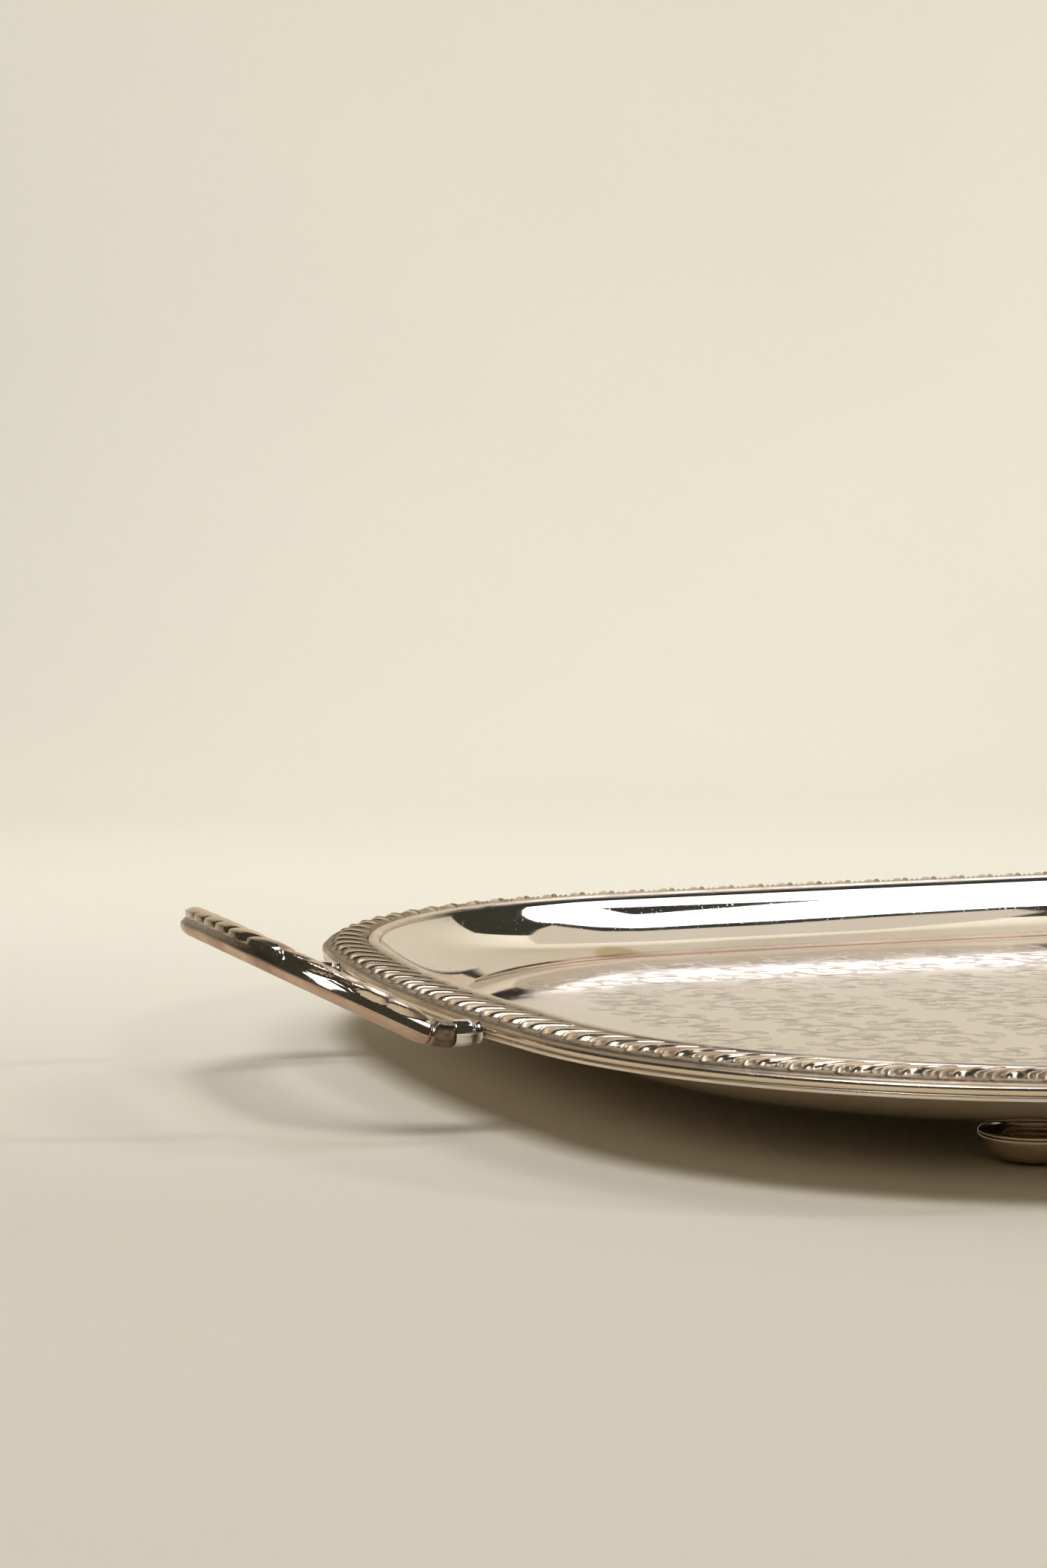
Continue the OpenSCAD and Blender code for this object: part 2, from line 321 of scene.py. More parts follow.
# Scratches: how many cross a metre, their turn in degrees, and the level where one starts
SCRATCHES = ((900.0, 20.0, 0.66), (1300.0, -50.0, 0.68))
SCRATCH_STRETCH = (1, 0.03, 1)
SCRATCH_EDGE = 0.04

# How much darker the clouds are, and how far each mark roughens or dents the polish
CLOUD_DIP = (0.94, 0.91, 0.86)
SCRATCH_ROUGHNESS = 0.12
BARE_ROUGHNESS = 0.5
TARNISH_AND_SHADE_ROUGHNESS = 0.3
SCRATCH_BUMP = (0.06, 0.00002)

# The yellow stain: middle and reach in metres, share of the reach that is full, and ragged edge per metre
STAIN_PLACE = (-0.178, 0.146, WELL_Z * MM)
STAIN_REACH = 0.011
STAIN_CORE = 0.3
STAIN_RAGGED = 260.0
STAIN_STRENGTH = 0.9


def new_material(name):
    """A material with an empty tree, and its metal shader."""
    material = bpy.data.materials.new(name)
    material.use_nodes = True
    tree = material.node_tree
    tree.nodes.clear()
    shader = add(tree, "ShaderNodeBsdfPrincipled", Metallic=1.0, Specular_Tint=GRAZING)
    add(tree, "ShaderNodeOutputMaterial", Surface=shader.outputs["BSDF"])
    return material, tree, shader


def scratches(tree, scale, turn, cut):
    """Fine straight scratches lying one way: 1 in a scratch."""
    streak = noise(tree, scale, 2.0, SCRATCH_STRETCH, turn)
    return ramp(tree, streak, cut, cut + SCRATCH_EDGE)


def stained(tree):
    """One yellowed patch left by a spill, at the foot of the slope."""
    away = add(tree, "ShaderNodeVectorMath", {"operation": "DISTANCE"})
    feed(tree, away.inputs[0], own_place(tree))
    feed(tree, away.inputs[1], STAIN_PLACE)
    near = ramp(tree, away.outputs["Value"], STAIN_REACH, STAIN_REACH * STAIN_CORE)
    ragged = blend_values(tree, noise(tree, STAIN_RAGGED, 4.0), 0.6, 1.4)
    return ramp(tree, scaled(tree, ragged, near), 0.25, 0.6)


def silver(name, colour, gloss, dull, worn=None, under=COPPER_AND_PAINTED_SHADE, tarnish_and_shade_strength=None, flat=None, bumps=()):
    """Silver plate, cloudy, smudged and scratched, with worn patches that in places stand for painted
    light, darkening that is partly tarnishing and partly painted shade and reflection, and a stain where
    asked for.
    """
    material, tree, shader = new_material(name)
    darker = tuple(c * k for c, k in zip(colour[:3], CLOUD_DIP)) + (1,)
    tone = blend_tones(tree, patches(tree, *CLOUDS), colour, darker)
    rough = blend_values(tree, patches(tree, *SMUDGES), gloss, dull)
    lines = joined(tree, "MAXIMUM", *[scratches(tree, *way) for way in SCRATCHES])
    rough = raised(tree, rough, lines, SCRATCH_ROUGHNESS)
    # The worn tone also stands for painted light: a cream reflection on the body's bead and lip, and shade
    # on the handle's underside.
    if worn is not None:
        amount = blend_values(tree, patches(tree, *BARE_PATCHES), 0.5 * worn, worn)
        bare = scaled(tree, field(tree, "wear"), amount)
        tone = blend_tones(tree, bare, tone, under)
        rough = raised(tree, rough, bare, BARE_ROUGHNESS)
    if flat is not None:
        rough = raised(tree, rough, field(tree, "flat"), flat)
        tone = blend_tones(tree, scaled(tree, stained(tree), STAIN_STRENGTH), tone, STAIN)
    # Darkening from the mesh: partly tarnishing in hollows, partly painted shade and painted dark
    # reflections.
    if tarnish_and_shade_strength is not None:
        speckled = blend_values(tree, patches(tree, *SPECKS), 0.7, 1.0)
        tarnish_and_shade_mix = scaled(tree, scaled(tree, field(tree, "cavity"), tarnish_and_shade_strength), speckled)
        tone = blend_tones(tree, tarnish_and_shade_mix, tone, TARNISH_AND_PAINTED_SHADE)
        rough = raised(tree, rough, tarnish_and_shade_mix, TARNISH_AND_SHADE_ROUGHNESS)
    feed(tree, shader.inputs["Base Color"], tone)
    feed(tree, shader.inputs["Roughness"], rough)
    strength, reach = SCRATCH_BUMP
    bump = add(tree, "ShaderNodeBump", Height=lines, Strength=strength, Distance=reach)
    for make, strength, reach in bumps:
        normal = bump.outputs["Normal"]
        height = make(tree)
        bump = add(tree, "ShaderNodeBump", Height=height, Strength=strength, Distance=reach, Normal=normal)
    feed(tree, shader.inputs["Normal"], bump.outputs["Normal"])
    return material


def wavy(tree):
    """Slow waves of a sheet that was rolled and planished by hand."""
    return noise(tree, *WAVES)


def stippled(tree):
    """Punched dots where the mesh asks for them."""
    dots = add(tree, "ShaderNodeTexVoronoi", Vector=own_place(tree), Scale=DOTS)
    hollow = ramp(tree, dots.outputs["Distance"], 0.1, 0.6)
    return scaled(tree, hollow, field(tree, "stipple"))


def filed(tree):
    """File marks across the blocks at the ends of the bow."""
    marks = ramp(tree, noise(tree, *FILE_MARKS), 0.35, 0.65)
    return scaled(tree, marks, field(tree, "filed"))


def pitted(tree):
    """Small casting pits and dents."""
    return patches(tree, *PITS)


BODY_SILVER = silver(
    "body_silver_plate",
    SILVER,
    gloss=0.03,
    dull=0.07,
    worn=0.9,
    under=SILVER_WARM,
    tarnish_and_shade_strength=0.9,
    flat=0.04,
    bumps=[(wavy, 0.05, 0.002)],
)
BORDER_SILVER = silver(
    "border_silver_plate",
    SILVER_WARM,
    gloss=0.10,
    dull=0.20,
    worn=1.0,
    under=SILVER_TAN,
    tarnish_and_shade_strength=0.95,
    bumps=[(pitted, 0.12, 0.0001)],
)
HANDLE_SILVER = silver(
    "handle_silver_plate",
    SILVER_WARM,
    gloss=0.05,
    dull=0.15,
    worn=1.0,
    tarnish_and_shade_strength=0.95,
    bumps=[(stippled, 0.25, 0.00015), (filed, 0.5, 0.0001), (pitted, 0.08, 0.0001)],
)
TERMINAL_SILVER = silver("terminal_silver_plate", SILVER, gloss=0.05, dull=0.12, tarnish_and_shade_strength=0.95)
FOOT_SILVER = silver("foot_silver_plate", SILVER_WARM, gloss=0.08, dull=0.2, tarnish_and_shade_strength=0.9)


def chased_material(name, dark, light, smoothest, roughest):
    """Chased metal, mottled between two tones and two roughnesses."""
    material, tree, shader = new_material(name)
    feed(tree, shader.inputs["Base Color"], blend_tones(tree, patches(tree, *CHASED_MOTTLE), dark, light))
    rough = blend_values(tree, noise(tree, 800.0, 2.0), smoothest, roughest)
    feed(tree, shader.inputs["Roughness"], rough)
    bump = add(tree, "ShaderNodeBump", Height=noise(tree, 2500.0, 2.0), Strength=0.2, Distance=0.00005)
    feed(tree, shader.inputs["Normal"], bump.outputs["Normal"])
    return material


CHASED = chased_material("chased_line_silver", (0.48, 0.44, 0.38, 1), (0.64, 0.60, 0.54, 1), 0.12, 0.22)
MATT = chased_material("matt_leaf_silver", (0.66, 0.61, 0.55, 1), (0.80, 0.75, 0.69, 1), 0.10, 0.20)


# Body sheet
LIP_RADIUS = 0.45
TOE_ANGLE = math.radians(15.0)
TOE_RADIUS = 3.0
FIELD_MARGIN = 9.0
BASE_RINGS = [60.0, FIELD_MARGIN + 3, FIELD_MARGIN, 6.0, 2.0]
FLANGE_START = 1.2
TROUGH_WIDTH = 0.6
TROUGH_WALL = 1.0
BEAD_END = 0.1
RING_STEPS = {"end": 48, "corner": 96, "side": 60}


def turned_up(x, z, radius, angles):
    """An arc of the section that leaves the level at a point and bends up towards the rim."""
    return [(x - radius * math.sin(a), z + radius * (1 - math.cos(a))) for a in angles]


def turned_over(x, z, radius, angles):
    """An arc of the section about a centre."""
    return [(x + radius * math.cos(a), z + radius * math.sin(a)) for a in angles]


def sheet_section():
    """Section of the sheet from the middle of its underside round the lip to the middle of its top."""
    quarter = math.pi / 2
    rows = [(BASE_INSET + k, BASE_Z) for k in BASE_RINGS]
    rows += turned_up(BASE_INSET, BASE_Z, UNDER_RADIUS, np.linspace(0, UNDER_ANGLE, 24))
    rows += [(LIP_RADIUS + 3, FLANGE_Z), (LIP_RADIUS + 1, FLANGE_Z)]
    rows += turned_up(LIP_RADIUS, FLANGE_Z, LIP_RADIUS, np.linspace(0, quarter, 7))
    rows += turned_over(LIP_RADIUS, SEAT_Z - LIP_RADIUS, LIP_RADIUS, np.linspace(math.pi, quarter, 7))
    rows += [(x, SEAT_Z) for x in (FLANGE_START, FLANGE_WIDTH - TROUGH_WIDTH, FLANGE_WIDTH)]
    rows += [(FLANGE_WIDTH, SEAT_Z + TROUGH_WALL)]
    rows += turned_over(FLANGE_WIDTH + BEAD_R, BEAD_MID_Z, BEAD_R, np.linspace(math.pi, BEAD_END, 28))

    # The slope ends in a short straight part and a small fillet
    rows += turned_up(BASE_INSET, WELL_Z, SLOPE_RADIUS, np.linspace(SLOPE_ANGLE, TOE_ANGLE, 44))
    drop = (SLOPE_RADIUS - TOE_RADIUS) * (1 - math.cos(TOE_ANGLE))
    toe = BASE_INSET - (SLOPE_RADIUS - TOE_RADIUS) * math.sin(TOE_ANGLE) + drop / math.tan(TOE_ANGLE)
    rows += turned_up(toe, WELL_Z, TOE_RADIUS, np.linspace(TOE_ANGLE, 0, 7))
    rows += [(toe + 0.2, WELL_Z)]
    rows += [(BASE_INSET + k, WELL_Z) for k in reversed(BASE_RINGS)]
    return np.array(rows)


def make_body():
    """The sheet as one closed mesh, with painted shade beside the bead, and a worn, rougher bead and lip
    whose warmer tone is a painted cream reflection.
    """
    inset, height = sheet_section().T
    rings = []
    for arc in ARCS:
        steps = RING_STEPS[arc.name.split("_")[0]]
        angles = np.linspace(arc.first, arc.last, steps, endpoint=False)
        rings.append(with_height(on_arc(arc, angles, inset), height))
    points = np.concatenate(rings)
    count, cols = points.shape[:2]
    # Painted shade darkens the trough beside the bead; the bead's outer half and the lip take a warmer
    # worn tone that is a painted cream reflection.
    in_trough = (np.abs(inset - FLANGE_WIDTH) < 0.01) & (height < BEAD_MID_Z)
    on_base = (inset > BASE_INSET + FIELD_MARGIN + 1) & (height > BASE_Z + SHEET / 2)
    on_bead = (inset < SLOPE_TOP - 0.05) & (height > SEAT_Z + 0.5)
    on_lip = inset < 1.0
    marks = {"cavity": in_trough, "flat": on_base, "wear": on_bead | on_lip}
    fields = {key: np.tile(where, (count, 1)) for key, where in marks.items()}
    quads = grid_quads(count, cols, wrap_rows=True)
    piece = new_piece("tray_body_sheet", points, quads, column_caps(count, cols), fields)
    dress(piece, BODY_SILVER, "body_silver", "tray_body")


make_body()


# Border: in each pitch a ridge hooks round a lobe and two reeds, and all of them trail along the bead
# Each strand: middle and half width in pitches, rise in mm, start, nose, taper towards the tail, and wear
Strand = namedtuple("Strand", "middle half rise start nose taper wear")
STRANDS = [
    Strand(0.05, 0.110, 1.40, 0.12, 0.16, 0.00, 1.0),
    Strand(0.35, 0.235, 1.55, 0.16, 0.34, 0.35, 0.0),
    Strand(0.66, 0.078, 1.10, 0.24, 0.20, 0.10, 0.7),
    Strand(0.83, 0.073, 1.05, 0.21, 0.20, 0.10, 0.7),
]
TRAIL_SHARE = 0.97
FLOOR_OUTER = 2.45
FLOOR_INNER = 3.15
FLOOR_CURVE = 0.8
TAIL_FADE = 0.55
TAIL_WEAR = 0.8
TAIL_START = 0.7
TAIL_RUN = 0.25
EDGE_INSET = 0.9
EDGE_HEIGHT = 2.0
SHELF_WIDTH = 0.18
SHELF_RISE = 0.9
SHELF_FALL = 0.05
LOBE_TARNISH_AND_SHADE = 0.15
LOBE_STEPS = 36
LOBE_ROWS = 30
OUTER_CROWDING = 0.4
SEAM_SETBACK = 0.3
SEAM_TARNISH = 0.25
WAIST_PAINTED_REFLECTION = 0.15
EDGE_WEAR = 0.9
BAND_WEAR = 0.15
JOINT_GAP = 0.04


def trail(v):
    """How far a strand has trailed along the bead, in pitches, at a share of the strip's width."""
    return LOBE_SWEEP * (1 - np.sqrt(1 - (TRAIL_SHARE * v) ** 2))


def lobe_height(phase, v):
    """Height over the flange, and wear, at a phase in pitches and a share of the strip's width."""
    flow = phase - trail(v)
    floor = FLOOR_OUTER + (FLOOR_INNER - FLOOR_OUTER) * v ** FLOOR_CURVE
    top = floor + 0 * flow
    worn = 0 * top
    for strand in STRANDS:
        offset = (flow - strand.middle + 0.5) % 1.0 - 0.5
        blunt = np.clip((strand.start + strand.nose - v) / strand.nose, 0, 2)
        body = 1 - (offset / (strand.half * (1 - strand.taper * v))) ** 2 - blunt ** 2
        height = floor + strand.rise * (1 - TAIL_FADE * v ** 2) * np.sqrt(np.clip(body, 0, None))
        worn = np.where(height > top, strand.wear, worn)
        top = np.maximum(top, height)
    shelf = EDGE_HEIGHT + SHELF_RISE * np.clip(v / SHELF_WIDTH, 0, 1)
    shelf = shelf - (shelf - FLOOR_OUTER) * smooth((v - SHELF_WIDTH) / SHELF_FALL)
    worn = np.maximum(worn, TAIL_WEAR * smooth((v - TAIL_START) / TAIL_RUN))
    return np.maximum(top, shelf), np.where(shelf > top, 1.0, worn)


def band_section():
    """Insets, heights, darkening and worn share of the band outside the lobes, from below round to its
    edge; the darkening is a dark seam and a painted dark reflection at the waist.
    """
    low = np.linspace(-math.pi / 2, 0, 7)
    high = np.linspace(0, math.pi / 2, 10)[1:-1]
    inset_low = SEAM_SETBACK - (SEAM_SETBACK + BAND_SWELL) * np.cos(low)
    inset_high = EDGE_INSET - (EDGE_INSET + BAND_SWELL) * np.cos(high)
    insets = np.concatenate([[BORDER_INSET], inset_low, inset_high])
    heights = EDGE_HEIGHT / 2 * np.concatenate([[0.0], 1 + np.sin(low), 1 + np.sin(high)])
    tarnish_and_shade = np.zeros(len(insets))
    # The seam rows are a dark joint, and the waist gets a painted dark reflection.
    tarnish_and_shade[:3] = SEAM_TARNISH
    tarnish_and_shade[len(low)] = WAIST_PAINTED_REFLECTION
    wear = np.where(np.arange(len(insets)) > len(low) + 3, EDGE_WEAR, BAND_WEAR)
    return insets, heights, tarnish_and_shade, wear


def make_border(arc):
    """One length of the border along an arc of the outline, closed underneath and at both ends."""
    lobes = round(arc.radius * (arc.last - arc.first) / LOBE_PITCH)
    steps = lobes * LOBE_STEPS
    trim = JOINT_GAP / 2 / arc.radius
    angles = np.linspace(arc.first + trim, arc.last - trim, steps + 1)
    phase = np.linspace(0, lobes, steps + 1)[:, None]
    ease = np.linspace(0, 1, LOBE_ROWS)
    v = (1 - OUTER_CROWDING) * ease + OUTER_CROWDING * ease * (2 - ease)
    strip, worn = lobe_height(phase, v[None, :])
    crest = STRANDS[0].rise
    # Hollows between strands and the polished lobes are darkened, partly tarnishing and partly painted
    # shade and painted dark reflection.
    depth = np.clip((FLOOR_OUTER + crest - strip) / crest, 0, 1)
    hollow = np.maximum(smooth((depth - 0.4) / 0.5), LOBE_TARNISH_AND_SHADE) * (1 - 0.9 * worn)
    band_insets, band_heights, band_tarnish_and_shade, band_wear = band_section()
    insets = np.concatenate([band_insets, EDGE_INSET + (BORDER_INSET - EDGE_INSET) * v])
    along = np.ones((steps + 1, 1))
    height = SEAT_Z + np.concatenate([band_heights * along, strip], 1)
    fields = {
        "cavity": np.concatenate([band_tarnish_and_shade * along, hollow], 1),
        "wear": np.concatenate([band_wear * along, worn], 1),
    }
    points = with_height(on_arc(arc, angles, insets), height)
    rows, cols = points.shape[:2]
    quads = grid_quads(rows, cols, wrap_cols=True)
    name = "border_" + arc.name
    piece = new_piece(name + "_lobed", points, quads, row_caps(rows, cols), fields, sharp=75.0)
    dress(piece, BORDER_SILVER, "border_silver", name)


for arc in ARCS:
    make_border(arc)


# Handles
BOW_RINGS = 640
BOW_SAMPLES = 8001
BAR_SIDES = 112
CORE_TOP = 2.2
BAR_BELLY = 2.3
SIDE_LEAN = 0.26
SLIM_SHARE = 0.18
SLIM_START = 24.0
SLIM_RUN = 16.0
BLOCK_LENGTH = 5.0
BLOCK_HALF = (3.7, 2.9)
BLOCK_DARKENING = 0.9
BEVEL_SHARE = 0.12
BEVEL_LENGTH = 0.6
NOTCH_DEPTH = 0.14
NOTCH_WIDTH = 0.35
NOTCH_OFFSET = 0.3
NOTCH_DARKENING = 0.8
RELIEF_SPREAD = 0.6

# Lobes of the grip, in millimetres along and up, and in degrees from the top of the bar
GRIP_HALF = GRIP_LOBES * GRIP_PITCH / 2
GRIP_FADE = 2.0
GRIP_SPREAD = 62.0
GRIP_SCALLOP = 14.0
GRIP_EDGE = 4.0
GRIP_FLOOR = 0.35
GRIP_RISE = 1.45
GRIP_SIDE_SHARE = 0.45
GRIP_WEAR = 0.35
GRIP_PAINTED_DARK_SIDE = 0.8
DARK_SIDE_FIRST = 60.0
DARK_SIDE_LAST = 104.0

# Leaves on a shoulder: span from its terminal, swells, spread in degrees, rise, fold and stipple
Leaf = namedtuple("Leaf", "first last swells spread rise fold stipple")
LEAVES = [
    Leaf(24.0, 47.0, 2.5, 58.0, 1.75, 0.50, 1.0),
    Leaf(6.0, 34.0, 3.5, 62.0, 2.05, 0.80, 0.35),
]
LEAF_SLANT = 0.45
LEAF_SCALLOP = 0.12
LEAF_EDGE = 0.14
LEAF_RIB = 9.0
LEAF_RIB_DEPTH = 0.25
LEAF_WEAR = 0.6

# Round the bar: shares across and up, how far over the top, and degrees from the top
BAR_ANGLE = np.linspace(0, 2 * math.pi, BAR_SIDES, endpoint=False)[None, :]
ACROSS = np.cos(BAR_ANGLE)
UPWARD = np.sin(BAR_ANGLE)
BROW = np.clip(UPWARD, 0, 1)
LIFT = BROW ** 0.5
LEAN = (np.degrees(BAR_ANGLE) + 90) % 360 - 180


def bow_rise(run):
    """Height of the bow at a run from its start: level at first, then at the handle's tilt."""
    level = run ** 2 / (2 * BAR_LEVEL)
    return math.tan(HANDLE_TILT) * np.where(run < BAR_LEVEL, level, run - BAR_LEVEL / 2)


def bow_line(count):
    """Points along the bow of the right handle at even distances, with its slope there."""
    turn = np.linspace(0, math.pi, BOW_SAMPLES)
    run = BOW_RUN * np.clip(np.sin(turn), 0, 1) ** BOW_POWER
    side = HANDLE_SPAN / 2 * np.sign(np.cos(turn)) * np.abs(np.cos(turn)) ** BOW_POWER
    line = np.stack([RIM_X + BOW_START + run, side, SEAT_Z + bow_rise(run)], -1)
    along = np.concatenate([[0], np.cumsum(np.linalg.norm(np.diff(line, axis=0), axis=1))])
    even = np.linspace(0, along[-1], count)
    points = np.stack([np.interp(even, along, line[:, k]) for k in range(3)], -1)
    run = np.interp(even, along, run)
    slope = np.arctan(math.tan(HANDLE_TILT) * np.clip(run / BAR_LEVEL, 0, 1))
    return points, even, slope


def grip_relief(middle):
    """Slanting lobes with scalloped edges over the grip: relief, darkening and worn share; the darkening
    is tarnishing with painted shade between the lobes, and a painted dark reflection along the bar's lower
    side.
    """
    flow = middle / GRIP_PITCH + ACROSS / 2
    hump = np.sqrt(np.clip(1 - (2 * (flow % 1.0) - 1) ** 2, 0, 1))
    on_grip = smooth((GRIP_HALF - np.abs(middle)) / GRIP_FADE)
    away = np.abs(LEAN)
    covered = on_grip * smooth((GRIP_SPREAD - GRIP_SCALLOP * (1 - hump) - away) / GRIP_EDGE)
    relief = covered * (GRIP_FLOOR + GRIP_RISE * hump * (GRIP_SIDE_SHARE + (1 - GRIP_SIDE_SHARE) * LIFT))
    # Painted shade, with tarnishing, between the lobes; a painted dark reflection along the lower side of
    # the bar.
    between = covered * smooth((0.4 - hump) / 0.35)
    below = smooth((away - DARK_SIDE_FIRST) / 6.0) * smooth((DARK_SIDE_LAST - away) / 16.0)
    tarnish_and_shade = np.maximum(between, GRIP_PAINTED_DARK_SIDE * on_grip * below)
    wear = GRIP_WEAR * covered * smooth((hump - 0.6) / 0.4)
    return relief, tarnish_and_shade, wear


def leaf_relief(along, leaf):
    """Relief of a leaf over the bar: its height, how deep its folds are, and where it lies."""
    x = np.clip((along - leaf.first) / (leaf.last - leaf.first), 0, 1)
    shape = np.sin(math.pi * x ** 0.85) ** 0.5
    swells = np.abs(np.sin(math.pi * (leaf.swells * x - LEAF_SLANT * np.abs(LEAN) / leaf.spread)))
    half = np.maximum(leaf.spread * shape * (1 - LEAF_SCALLOP + LEAF_SCALLOP * swells), 1e-3)
    share = np.abs(LEAN) / half
    outer = np.clip(share, 0.3, 1)
    body = smooth((1 - share) / LEAF_EDGE)
    rib = LEAF_RIB_DEPTH * np.exp(-(LEAN / LEAF_RIB) ** 2)
    height = body * (leaf.rise * shape + leaf.fold * (swells ** 0.7 - 1) * outer - rib)
    hollow = body * np.clip(1 - swells * 2.2, 0, 1) * outer
    return np.clip(height, 0, None), hollow, body


def bar_section(near_end):
    """The bar without relief: height and reach round its line, its squared ends, and its dark notches."""
    block = smooth((BLOCK_LENGTH - near_end) / 0.4)
    half_width = BAR_WIDTH / 2 * (1 - SLIM_SHARE * smooth((near_end - SLIM_START) / SLIM_RUN))
    round_reach = half_width * (ACROSS - np.sign(ACROSS) * SIDE_LEAN * BROW * (1 - BROW) ** 2)
    half_height = np.where(UPWARD > 0, CORE_TOP + BAR_DEPTH - BAR_BELLY, BAR_BELLY)
    round_height = UPWARD * half_height - BAR_DEPTH + BAR_BELLY
    square_reach = np.sign(ACROSS) * np.abs(ACROSS) ** 0.5 * BLOCK_HALF[0]
    square_height = np.sign(UPWARD) * np.abs(UPWARD) ** 0.5 * BLOCK_HALF[1]
    dip = np.exp(-(((near_end - BLOCK_LENGTH - NOTCH_OFFSET) / NOTCH_WIDTH) ** 2))
    bevel = 1 - BEVEL_SHARE + BEVEL_SHARE * smooth(near_end / BEVEL_LENGTH)
    size = (1 - NOTCH_DEPTH * dip) * bevel
    height = (round_height + (square_height - round_height) * block) * size
    reach = (round_reach + (square_reach - round_reach) * block) * size
    # Darker in the notches and at the very ends of the bar.
    dark = NOTCH_DARKENING * (dip + smooth(1 - near_end / 0.5))
    return height, reach, block, dark


def make_handle(end):
    """A bow with lobes on the grip, two leaves on each shoulder and a filed block at each end."""
    line, along, slope = bow_line(BOW_RINGS + 1)
    ahead = unit(np.gradient(line, axis=0))
    up = np.stack([-np.sin(slope), 0 * slope, np.cos(slope)], -1)
    across = unit(np.cross(ahead, up))
    middle = (along - along[-1] / 2)[:, None]
    near_end = np.minimum(along, along[-1] - along)[:, None]
    relief, cavity, wear = grip_relief(middle)
    stipple = np.zeros_like(relief)
    for leaf in LEAVES:
        leaf_height, hollow, body = leaf_relief(near_end, leaf)
        relief = np.maximum(relief, leaf_height)
        # The leaves' folds are darkened, partly tarnishing and partly painted shade.
        cavity = np.maximum(cavity * (1 - body), hollow)
        wear = np.maximum(wear, LEAF_WEAR * body * LIFT)
        stipple = np.maximum(stipple, leaf.stipple * body)
    height, reach, block, dark = bar_section(near_end)
    height = height + relief * LIFT
    reach = reach + relief * ACROSS * RELIEF_SPREAD
    points = line[:, None, :] + across[:, None, :] * reach[..., None] + up[:, None, :] * height[..., None]
    if end == "left":
        points = points * np.array([-1, -1, 1])
    # The underside is rough darker copper: partly worn plating, partly painted shade for the shadowed
    # floor it mirrors.
    under = smooth((0.05 - UPWARD) / 0.25)
    # The filed blocks are darkened.
    fields = {
        "cavity": np.maximum(cavity, np.maximum(dark, BLOCK_DARKENING * block)),
        "wear": np.maximum(wear, under),
        "stipple": stipple,
        "filed": np.maximum(block, 0.5 * under),
    }
    rows, cols = points.shape[:2]
    quads = grid_quads(rows, cols, wrap_cols=True)
    name = "handle_" + end
    piece = new_piece(name + "_bow", points, quads, row_caps(rows, cols), fields, sharp=80.0)
    dress(piece, HANDLE_SILVER, "handle_silver", name)


for end in ("right", "left"):
    make_handle(end)


# Turned pieces
TURNED_SIDES = 72
NECK_PAINTED_SHADE = 0.85
TIP_DARKENING = 0.2
EDGE_DARKENING = 0.1
BARREL_SWELL = 0.06
COLLAR_R = COLLAR_DIAMETER / 2
COLLAR_Z = BASE_Z - COLLAR_HEIGHT
COLLAR_SOFT = 0.2
COLLAR_HUB_R = 0.5
TREAD_HUB_R = 0.4
NECK_R = COLLAR_R - COLLAR_STEP
FOOT_R = FOOT_DIAMETER / 2
SEAM_RIM = 0.45
SEAM_GAP = 0.02
RIM_DROP = 0.35
RIM_SOFT = 0.15
SEAM_DARK = 0.9


def turned(name, profile, place, closed=False):
    """A turned piece from a profile of radius, height and darkening, set upright and then put in place."""
    radius, height, tarnish_and_shade = np.array(profile, float).T
    angle = np.linspace(0, 2 * math.pi, TURNED_SIDES, endpoint=False)[:, None]
    ring = np.stack([np.cos(angle) * radius, np.sin(angle) * radius], -1)
    points = place(with_height(ring, height))
    rows, cols = points.shape[:2]
    quads = grid_quads(rows, cols, wrap_rows=True, wrap_cols=closed)
    ngons = [] if closed else column_caps(rows, cols)
    return new_piece(name, points, quads, ngons, {"cavity": np.tile(tarnish_and_shade, (rows, 1))}, sharp=60.0)


def terminal_profile():
    """Radius, distance out from the rim's line, and darkening: painted shade in the neck, a little darker
    at the shoulder and at the tip.
    """
    barrel_r = BARREL_DIAMETER / 2
    neck_r = NECK_DIAMETER / 2
    tip = RIM_FACE + TERMINAL_LENGTH
    foot = tip - BARREL_LENGTH
    soft = (barrel_r - neck_r) / 2
    quarter = np.linspace(0, math.pi / 2, 6)
    rows = []
    for x in np.linspace(0, 1, 14):
        flare = (2 * x - 1) ** 2
        out = RIM_FACE + (foot - RIM_FACE) * x
        # Painted shade, darkest in the middle of the neck.
        rows.append((neck_r + soft * flare, out, NECK_PAINTED_SHADE * (1 - flare)))
    for a in quarter[1:]:
        radius = neck_r + soft + soft * math.sin(a)
        rows.append((radius, foot + soft * (1 - math.cos(a)), EDGE_DARKENING))
    for x in np.linspace(0, 1, 8)[1:-1]:
        radius = barrel_r + BARREL_SWELL * (1 - (2 * x - 1) ** 2)
        rows.append((radius, foot + soft + (BARREL_LENGTH - 2 * soft) * x, 0.0))
    for a in quarter:
        radius = barrel_r - soft + soft * math.cos(a)
        rows.append((radius, tip - soft + soft * math.sin(a), TIP_DARKENING * math.sin(a)))
    return rows


